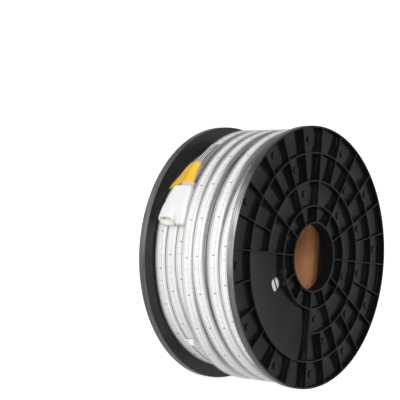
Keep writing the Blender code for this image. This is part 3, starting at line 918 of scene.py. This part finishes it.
class REEL_OT_stage(Operator):
    """Build the floor, the even light, the lamps and the camera"""

    bl_idname = "reel.stage"
    bl_label = "Stage"

    def execute(self, context):
        settings = context.scene.reel_stage
        self.floor(settings)
        self.world(settings)
        self.lamps(settings)
        self.camera(context, settings)
        context.scene.view_settings.view_transform = "Standard"
        return {"FINISHED"}

    def floor(self, settings):
        bpy.ops.mesh.primitive_plane_add(size=settings.floor_size)
        floor = bpy.context.object
        floor.name = "stage_floor"
        floor.location.z = -FLOOR_GAP
        material = bpy.data.materials.new("stage_white")
        material.use_nodes = True
        layout = NodeLayout(material.node_tree)
        layout.fill(layout.shader, {
            "Base Color": (*settings.floor_colour, 1.0), "Roughness": 0.9, "Specular IOR Level": 0.0,
        })
        path = layout.add("ShaderNodeLightPath")
        glow = layout.add("ShaderNodeEmission", {"Color": (*settings.floor_glow, 1.0)})
        both = layout.add("ShaderNodeAddShader", {0: [layout.shader, 0], 1: [glow, 0]})
        mix = layout.add("ShaderNodeMixShader", {
            0: [path, "Is Camera Ray"], 1: [layout.shader, 0], 2: [both, 0],
        })
        layout.fill(material.node_tree.nodes["Material Output"], {"Surface": [mix, 0]})
        floor.data.materials.append(material)

    def world(self, settings):
        world = bpy.data.worlds.new("even_light")
        bpy.context.scene.world = world
        world.use_nodes = True
        layout = NodeLayout(world.node_tree)
        path = layout.add("ShaderNodeLightPath")
        strength = layout.add("ShaderNodeMapRange", {
            "Value": [path, "Is Camera Ray"], "To Min": settings.world_light, "To Max": 1.0,
        })
        layout.fill(world.node_tree.nodes["Background"], {
            "Color": (1.0, 1.0, 1.0, 1.0), "Strength": [strength, "Result"],
        })

    def lamps(self, settings):
        for name, spot, size, share, in_gloss in LAMPS:
            light = bpy.data.lights.new(name, "AREA")
            light.size = size
            light.energy = settings.key_light * share
            lamp = add_object(name, light)
            lamp.location = spot
            lamp.visible_glossy = in_gloss
            aim = AXIS * REEL_WIDTH / 2 - Vector(spot)
            lamp.rotation_euler = aim.to_track_quat("-Z", "Y").to_euler()

    def camera(self, context, settings):
        data = bpy.data.cameras.new("photo_camera")
        data.lens = settings.lens
        data.sensor_width = 36.0
        camera = add_object("photo_camera", data)
        aim = Vector(settings.camera_aim) - Vector(settings.camera_spot)
        turn = aim.to_track_quat("-Z", "Y").to_matrix() @ Matrix.Rotation(settings.camera_roll, 3, "Z")
        camera.matrix_world = Matrix.Translation(settings.camera_spot) @ turn.to_4x4()
        context.scene.camera = camera


class REEL_OT_flanges(Operator):
    """Build both ribbed flanges"""

    bl_idname = "reel.flanges"
    bl_label = "Flanges"

    def execute(self, context):
        sizes = context.scene.reel_sizes
        plastic = new_material(
            "reel_black", sizes.plastic, 1.6, 0.17, bump=0.06, grain_scale=260.0, specular=0.38
        )
        bore = new_material("reel_bore", sizes.plastic, 1.6, 0.6, specular=0.12)
        inner = new_material(
            "reel_inner_face", scaled(sizes.plastic, 5.0), 0.5, 0.26,
            bump=0.06, grain_scale=260.0, drift_scale=9.0,
        )
        flanges = (
            ("front", FRONT_RIM_SHADES, REEL_WIDTH, 0.0),
            ("rear", REAR_RIM_SHADES, 0.0, math.pi),
        )
        for side, shades, height, turn in flanges:
            # Each rim's colour: streaky scuffs, with the painted highlight and painted shade of its table
            rim = new_material(
                f"reel_rim_{side}", sizes.rim, 0.4, 0.26, shades,
                bump=0.15, grain_scale=300.0, drift_scale=20.0, drift=1.0, stretch=20.0,
            )
            flange = finish_piece(
                f"{side}_flange_ribs", flange_form(sizes), [plastic, rim, bore, inner],
                [f"{side}_flange"],
            )
            flange.location.z = height
            flange.rotation_euler.x = turn
        return {"FINISHED"}


class REEL_OT_core(Operator):
    """Build the cardboard core"""

    bl_idname = "reel.core"
    bl_label = "Core"

    def execute(self, context):
        sizes = context.scene.reel_sizes
        card = new_material(
            "core_card", sizes.card, 0.6, 0.85, bump=0.5, bump_depth=0.0004,
            grain_scale=420.0, drift_scale=25.0, drift=0.8, specular=0.1,
        )
        # Painted shade on the card towards the bore's front end, and painted light towards +X
        shade_along(card, ALONG_CARD, CARD_SHADES)
        shade_along(card, ALONG_X, CARD_SIDE_SHADES)
        inner = sizes.bore + sizes.spigot_wall + CARD_GAP
        form = bmesh.new()
        rings = turned(form, [
            (inner, REAR_FACE), (inner, FRONT_FACE), (CORE_RADIUS, FRONT_FACE), (CORE_RADIUS, REAR_FACE),
        ])
        skin(form, rings + rings[:1])
        finish_piece("core_card", form, [card], ["core_tube"])
        return {"FINISHED"}


class REEL_OT_rope(Operator):
    """Wind the rope: the inner roll, the sleeve, the tape and the LEDs"""

    bl_idname = "reel.rope"
    bl_label = "Rope"

    def execute(self, context):
        rope = context.scene.reel_rope
        tape = new_material("rope_tape", rope.tape, 0.94, 0.35, bump=0.05, coat=0.4, drift=0.4)
        # The clear sides get painted shade towards -X and painted light towards +X
        side = new_material(
            "rope_side", rope.side, 0.7, 0.25, SIDE_SHADES, bump=0.1, drift=0.7, drift_scale=90.0
        )
        # The wire strip: painted light in its pale colour, painted shade towards -X
        wire = new_material("rope_wire", rope.wire_with_painted_light, 0.6, 0.35, WIRE_SHADES, bump=0.1, drift=0.6)
        upper = [(angle, edge, UPPER_TOP) for angle, edge in UPPER_EDGES]
        route = smooth_route(lower_route() + CLIMB_ROUTE + upper, ROUND_STEP)
        wall = rope.sleeve_wall
        width = rope.width - 2 * wall
        inside = [(a, edge + wall, top - wall) for a, edge, top in route]
        profile, strips = body_profile(width, rope.height - 2 * wall)
        self.body(rope, [tape, side, wire], inside, profile, width, strips)
        self.bare_end(rope, tape, wire, inside, profile, width)
        self.parts(inside, width, rope)
        self.sleeve(rope, route)
        self.roll(rope, tape, side)
        return {"FINISHED"}

    def body(self, rope, materials, route, profile, width, strips):
        """The tape in its clear body, up to where the bare end starts."""
        # The tape's edge line, darkened towards -X as painted shade
        line = new_material("tape_edge", rope.edge_grey, 0.8, 0.4, LINE_SHADES, drift=0.8)
        # The rounded corners: tape colour darkened as painted shade, and darker still towards -X
        corner = new_material("rope_corner", scaled(rope.tape, 0.87), 0.897, 0.3, CORNER_SHADES, coat=0.4)
        form = bmesh.new()
        taped = [entry for entry in route if entry[0] <= TAPE_END]
        sweep(form, taped, profile, width, strips, SIDE)
        finish_piece("rope_tape", form, [*materials, line, corner], ["rope_winding"])

    def bare_end(self, rope, tape, wire, route, profile, width):
        """The clear end without tape, with its dark and pale streaks on the sleeve."""
        clear = new_material("rope_clear", scaled(rope.side, 0.11), 2.27, 0.3, drift=0.8)
        form = bmesh.new()
        bare = [entry for entry in route if entry[0] >= TAPE_END - ROUND_STEP]
        sweep(form, bare, profile, width, (SIDE,), SIDE)
        for across, thick, material in STREAKS:
            for angle in range(int(TAPE_END), int(route[-1][0])):
                top = follow(route, angle)[1]
                place = self.spot(route, angle, width, across, rope.sleeve_wall)
                size = (top * math.radians(STREAK_ANGLE), thick, STREAK_HEIGHT)
                block(form, place, size, material)
        finish_piece("rope_bare_end", form, [tape, clear, wire])

    def sleeve(self, rope, route):
        """The clear sleeve round all of it."""
        clear = new_material(
            "rope_sleeve", rope.sleeve, 0.92, 0.12,
            bump=0.08, grain_scale=120.0, bump_depth=0.0004, coat=0.8, specular=0.9,
        )
        see_through(clear, *SLEEVE_ALPHA)
        form = bmesh.new()
        sweep(form, route, rounded_profile(rope.width, rope.height, PROFILE_ROUND), rope.width)
        finish_piece("rope_sleeve", form, [clear])

    def spot(self, route, angle, width, across, rise=0.0):
        """A place on the tape: its origin, and the directions along, across and out."""
        edge, top, slope = follow(route, angle)
        out = polar(1.0, angle)
        along = (polar(1.0, angle + 90) + AXIS * slope).normalized()
        sideways = out.cross(along)
        origin = polar(top + rise, angle, edge + width / 2) + sideways * across
        return origin, along, sideways, out

    def parts(self, route, width, rope):
        """LEDs with their frames, the resistors between them and the cut marks."""
        white = new_material("led_frame", scaled(rope.tape, 0.95), 1.053, 0.35)
        yellow = new_material("led_face", rope.phosphor, 0.9, 0.30)
        grey = new_material("resistor", rope.part_grey, 1.6, 0.45)
        pad = new_material("cut_pad", rope.line_grey, 0.9, 0.35)
        form = bmesh.new()

        def put(angle, across, size, material, taper=1.0):
            block(form, self.spot(route, angle, width, across, -PART_SINK), size, material, taper)

        step = math.degrees(rope.led_pitch / 2 / LOWER_TOP)
        angles = spots_along(route, START_ROUTE[0][0] + LED_START, TAPE_END - LED_STOP, rope.led_pitch)
        for number, angle in enumerate(angles):
            put(angle, 0.0, LED_FRAME, FRAME, LED_TAPER)
            put(angle, 0.0, LED_FACE, FACE)
            if angle + step > TAPE_END - PART_STOP:
                continue
            part = number % rope.leds_per_cut
            if part == 0:
                put(angle + step, 0.0, CUT_LINE, PAD)
                for across in (-PAD_ACROSS, PAD_ACROSS):
                    put(angle + step, across, SOLDER_PAD, PAD)
            elif part in RESISTOR_PLACES:
                put(angle + step, PART_ACROSS, RESISTOR, GREY)
            else:
                put(angle + step, PART_ACROSS, SMALL_PART, PAD)
        finish_piece("rope_leds", form, [white, yellow, grey, pad], outward=False)

    def roll(self, rope, tape, side):
        """The layers below, as one ridged roll: points are (radius, z, material up to there)."""
        # Dark grooves between and beside the roll's turns: painted shade
        gap = new_material("rope_gap", scaled(rope.side, 0.04), 2.0, 0.5)
        top = LOWER_TOP - LAYER_HEIGHT
        edge = REAR_FACE + ROLL_GAP
        radius = CORE_RADIUS + ROLL_GAP
        rear = []
        while radius + LAYER_HEIGHT < top:
            rear.append((radius, REAR_FACE + ROLL_GROOVE, GAP))
            rear.append((radius + ROLL_LIP, edge, GAP))
            rear.append((radius + LAYER_HEIGHT - ROLL_LIP, edge, SIDE))
            radius += LAYER_HEIGHT
        outer = [(top - ROLL_GROOVE, edge, GAP)]
        while edge + LOWER_PITCH < FRONT_FACE:
            end = edge + LOWER_PITCH
            turn = ((top, edge + ROLL_GROOVE), (top, end - ROLL_GROOVE), (top - ROLL_GROOVE, end))
            outer += [(r, z, TAPE) for r, z in turn]
            edge = end
        strips = [GAP] + [strip for r, z, strip in rear[:0:-1]]
        front = [
            (r, FRONT_FACE + REAR_FACE - z, strip)
            for (r, z, old), strip in zip(reversed(rear), strips)
        ]
        points = rear + outer + front
        form = bmesh.new()
        rings = turned(form, [(r, z) for r, z, strip in points])
        for i, (r, z, strip) in enumerate(points):
            bridge(form, rings[i - 1], rings[i], strips=(strip,))
        finish_piece("rope_inner_roll", form, [tape, side, gap])


class REEL_OT_ends(Operator):
    """Build the connector, its contacts and the rope's seal"""

    bl_idname = "reel.ends"
    bl_label = "Connector"

    def execute(self, context):
        ends = context.scene.reel_ends
        white = new_material(
            "connector_white_finish", ends.white, 0.92, 0.28,
            bump=0.06, coat=0.3, drift=0.4, drift_scale=120.0,
        )
        # The lining's pale colour stands in for light inside the socket: painted light
        lining = new_material("socket_lining", ends.lining, 0.8, 0.45)
        form = bmesh.new()
        self.loft(form, [superellipse(section) for section in HOUSING_SECTIONS])
        self.tube(form)
        self.place("connector_shell", form, [white, lining], "connector_white", "connector_housing")
        self.inside(ends)
        return {"FINISHED"}

    def place(self, name, form, materials, slot, node):
        """Moves a form out of the connector's frame, and finishes it in place of one node."""
        out = polar(1.0, CONNECTOR_ANGLE)
        along = polar(1.0, CONNECTOR_ANGLE + 90)
        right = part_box("connector_housing")[1].z
        turn = Matrix((along, AXIS, out)).transposed().to_4x4()
        turn = Matrix.Translation(out * CONNECTOR_SEAT + AXIS * right) @ turn
        bmesh.ops.transform(form, matrix=turn, verts=form.verts)
        finish_piece(name, form, materials, [node], angle=50)

    def loft(self, form, loops):
        rings = [ring_of(form, loop) for loop in loops]
        skin(form, rings)
        form.faces.new(rings[0])
        form.faces.new(rings[-1])
        return rings

    def tube(self, form):
        """The socket's tube with its slanted mouth, and the lining that shows in it."""
        loops = [superellipse(section) for section in TUBE_SECTIONS]
        start = TUBE_SECTIONS[2][0]
        x, across, up, half_width, half_height, power = TUBE_SECTIONS[-1]
        mouth = ((0.0, MOUTH_LIP), (MOUTH_ROUND, MOUTH_WALL), (MOUTH_DEPTH, MOUTH_WALL))
        for back, wall in mouth:
            loops.append(superellipse((x - back, across, up, half_width - wall, half_height - wall, power)))
        for loop in loops[:-1]:
            for point in loop:
                share = max(0.0, (point.x - start) / (x - start))
                point.x -= share * MOUTH_SLANT * (point.z - up)
        before = len(form.faces)
        deepest = set(self.loft(form, loops)[-1])
        form.faces.ensure_lookup_table()
        for face in form.faces[before:]:
            if not deepest.isdisjoint(face.verts):
                face.material_index = LINING

    def plug(self, name, sections, material, slot, node, steps=36):
        """A closed piece lofted through sections, in place of one node."""
        form = bmesh.new()
        self.loft(form, [superellipse(section, steps) for section in sections])
        self.place(name, form, [material], slot, node)

    def inside(self, ends):
        """The insulating block, the rope's seal and the two round-ended pins."""
        beige = new_material("carrier_beige_finish", ends.beige, 0.9, 0.50)
        metal = new_material("pin_metal_finish", ends.pin, 0.8, 0.35, metallic=0.6)
        milky = new_material("seal_clear_finish", ends.seal, 0.8, 0.40, drift=0.8)
        self.plug("socket_face", CARRIER_SECTIONS, beige, "carrier_beige", "contact_carrier")
        self.plug("seal_sleeve", SEAL_SECTIONS, milky, "seal_clear", "rope_seal")
        x, across, up = CARRIER_SECTIONS[-1][:3]
        for number, side in ((1, -1), (2, 1)):
            middle = across + side * PIN_SPACING / 2
            sections = [
                (x + reach, middle, up, PIN_SIZE * share, PIN_SIZE * share, 2.0)
                for reach, share in PIN_STAGES
            ]
            self.plug(
                f"socket_pin_{number}", sections, metal, "pin_metal", f"contact_pin_{number}", steps=16
            )


class REEL_OT_labels(Operator):
    """Fold the paper tag over the rope and fasten the nylon tie"""

    bl_idname = "reel.labels"
    bl_label = "Tag and tie"

    def execute(self, context):
        ends = context.scene.reel_ends
        self.tag(ends)
        self.tie(ends)
        return {"FINISHED"}

    def tag(self, ends):
        """Paper over the rope's top, turned down at its right and folded out at its left."""
        paper = new_material(
            "tag_paper", ends.tag, 0.86, 0.55, bump=0.25, grain_scale=700.0, drift_scale=150.0
        )
        # Painted shade on the flap and along the fold
        shade_along(paper, AXIS, TAG_SHADES)
        form = bmesh.new()
        rows = [self.tag_row(form, step / TAG_STEPS) for step in range(TAG_STEPS + 1)]
        skin(form, rows, closed=False)
        bmesh.ops.recalc_face_normals(form, faces=form.faces)
        bmesh.ops.solidify(form, geom=form.faces[:], thickness=TAG_PAPER)
        finish_piece("paper_tag", form, [paper], ["rope_tag"], angle=50)

    def tag_row(self, form, share):
        """The tag's points across the rope, at a share of its length from the rope's bare end."""
        first, last = TAG_ANGLES
        angle = first + (last - first) * share
        top = UPPER_TOP + TAG_SEAT
        wave = TAG_WAVE * math.sin(TAG_WAVE_ALONG * share)
        right = TAG_RIGHT_Z - TAG_SKEW * (1 - share)
        row = [(angle, top - down, right + past) for down, past in TAG_TURN_DOWN]
        span = TAG_FOLD_Z + TAG_FOLD_ROUND - right + TAG_EDGE_ROUND
        for part in range(TAG_PARTS + 1):
            z = right - TAG_EDGE_ROUND + span * part / TAG_PARTS
            row.append((angle, top + wave * math.sin(TAG_WAVE_ACROSS * part), z))
        row.append((angle, top - TAG_FOLD_SINK, TAG_FOLD_Z))
        outer_angle = first + (TAG_TIP_ANGLE - first) * share
        outer_z = TAG_OUTER_Z - TAG_WIDENING * share
        drop = TAG_DROP[0] + TAG_DROP[1] * share
        for part in range(1, TAG_PARTS + 1):
            way = part / TAG_PARTS
            z = TAG_FOLD_Z + (outer_z - TAG_FOLD_Z) * way
            row.append((angle + (outer_angle - angle) * way, top - drop * way + wave * 2, z))
        return ring_of(form, [polar(r, a, z) for a, r, z in row])

    def tie(self, ends):
        """A strap across one turn, with its head and the cut-off end of the strap."""
        nylon = new_material("tie_nylon", ends.tie, 0.95, 0.35, bump=0.1, coat=0.2)
        low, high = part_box("rope_tie")
        middle = (low + high) / 2
        angle = math.degrees(math.atan2(middle.y, middle.x))
        out = polar(1.0, angle)
        along = polar(1.0, angle + 90)
        seat = out * (LOWER_TOP + TIE_SEAT)
        head = seat + AXIS * (high.z - TIE_HEAD / 2)
        end = head + out * TIE_END_RISE + along * TIE_HEAD / 2
        width, thickness = TIE_STRAP
        strap_size = (width, high.z - low.z, thickness)
        form = bmesh.new()
        block(form, (seat + AXIS * middle.z, along, AXIS, out), strap_size, taper=0.92)
        block(form, (head, along, AXIS, out), (TIE_HEAD * 0.9, TIE_HEAD, TIE_HEAD_HEIGHT), taper=0.96)
        block(form, (end, out, AXIS, along), TIE_END, taper=0.8)
        bmesh.ops.bevel(form, geom=form.edges[:], offset=TIE_ROUND, segments=2, affect="EDGES", profile=0.6)
        finish_piece("nylon_tie", form, [nylon], ["rope_tie"], outward=False)


class REEL_PT_panel(Panel):
    """The steps that build the reel"""

    bl_idname = "REEL_PT_panel"
    bl_label = "Rope light reel"
    bl_space_type = "VIEW_3D"
    bl_region_type = "UI"
    bl_category = "Rope Light"

    def draw(self, context):
        for step in STEPS:
            self.layout.operator(step.bl_idname)


STEPS = (REEL_OT_stage, REEL_OT_flanges, REEL_OT_core, REEL_OT_rope, REEL_OT_ends, REEL_OT_labels)
GROUPS = {
    "reel_sizes": ReelSettings,
    "reel_rope": RopeSettings,
    "reel_ends": EndSettings,
    "reel_stage": StageSettings,
}


def register():
    for entry in (*GROUPS.values(), *STEPS, REEL_PT_panel):
        bpy.utils.register_class(entry)
    for name, group in GROUPS.items():
        setattr(bpy.types.Scene, name, PointerProperty(type=group))


def unregister():
    for name in GROUPS:
        delattr(bpy.types.Scene, name)
    for entry in (REEL_PT_panel, *STEPS, *GROUPS.values()):
        bpy.utils.unregister_class(entry)


def clear_scene():
    """Removes what Blender starts with, and keeps the frame."""
    for thing in list(bpy.data.objects):
        if thing.type in ("CAMERA", "LIGHT") or thing.name == "Cube":
            bpy.data.objects.remove(thing, do_unlink=True)


def main():
    clear_scene()
    register()
    for step in STEPS:
        group, name = step.bl_idname.split(".")
        getattr(getattr(bpy.ops, group), name)()


if __name__ == "__main__":
    main()
